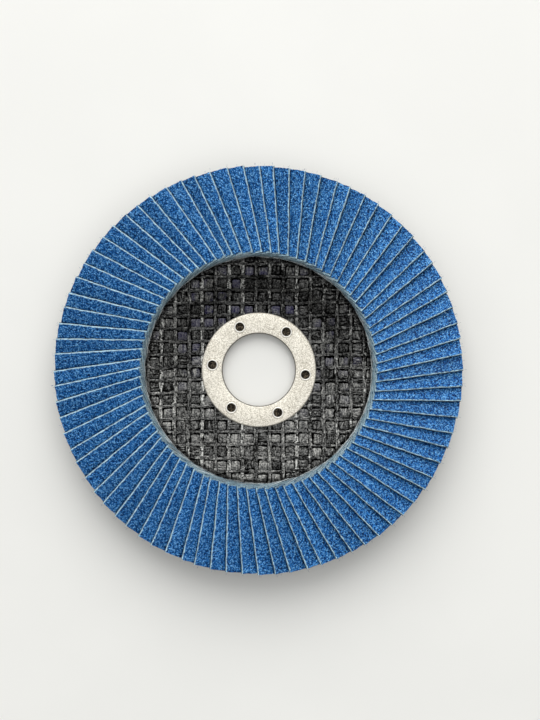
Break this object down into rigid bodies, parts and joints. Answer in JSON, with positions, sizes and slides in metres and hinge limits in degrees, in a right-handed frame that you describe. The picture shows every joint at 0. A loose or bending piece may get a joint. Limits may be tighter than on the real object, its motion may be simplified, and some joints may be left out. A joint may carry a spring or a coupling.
{
  "type": "flap disc",
  "caption": "Flap disc for an angle grinder: overlapping abrasive cloth flaps bonded round a dished glass-cloth plate with a steel-lined bore.",
  "frame": {"origin": "on the bore axis, at the back face of the hub, which is the face the disc rests on", "axes": "+Z along the bore axis towards the abrasive side; the strands of the woven face run along X and Y"},
  "size_m": [0.1222, 0.1222, 0.0151],
  "materials": {
    "glass_laminate": "black resin over coarse glass cloth",
    "plated_steel": "matt nickel plate",
    "set_resin": "set adhesive",
    "abrasive_cloth": "blue coated abrasive grain on cloth"
  },
  "bodies": {
    "root": {"backing_plate": "glass_laminate", "center_ring": "plated_steel", "adhesive_bed": "set_resin", "flap_pair_01": "abrasive_cloth", "flap_pair_02": "abrasive_cloth", "flap_pair_03": "abrasive_cloth", "flap_pair_04": "abrasive_cloth", "flap_pair_05": "abrasive_cloth", "flap_pair_06": "abrasive_cloth", "flap_pair_07": "abrasive_cloth", "flap_pair_08": "abrasive_cloth", "flap_pair_09": "abrasive_cloth", "flap_pair_10": "abrasive_cloth", "flap_pair_11": "abrasive_cloth", "flap_pair_12": "abrasive_cloth", "flap_pair_13": "abrasive_cloth", "flap_pair_14": "abrasive_cloth", "flap_pair_15": "abrasive_cloth", "flap_pair_16": "abrasive_cloth", "flap_pair_17": "abrasive_cloth", "flap_pair_18": "abrasive_cloth", "flap_pair_19": "abrasive_cloth", "flap_pair_20": "abrasive_cloth", "flap_pair_21": "abrasive_cloth", "flap_pair_22": "abrasive_cloth", "flap_pair_23": "abrasive_cloth", "flap_pair_24": "abrasive_cloth", "flap_pair_25": "abrasive_cloth", "flap_pair_26": "abrasive_cloth", "flap_pair_27": "abrasive_cloth", "flap_pair_28": "abrasive_cloth", "flap_pair_29": "abrasive_cloth", "flap_pair_30": "abrasive_cloth", "flap_pair_31": "abrasive_cloth", "flap_pair_32": "abrasive_cloth", "flap_pair_33": "abrasive_cloth", "flap_pair_34": "abrasive_cloth", "flap_pair_35": "abrasive_cloth", "flap_pair_36": "abrasive_cloth", "flap_pair_37": "abrasive_cloth", "flap_pair_38": "abrasive_cloth", "flap_pair_39": "abrasive_cloth", "flap_pair_40": "abrasive_cloth"}
  },
  "joints": []
}
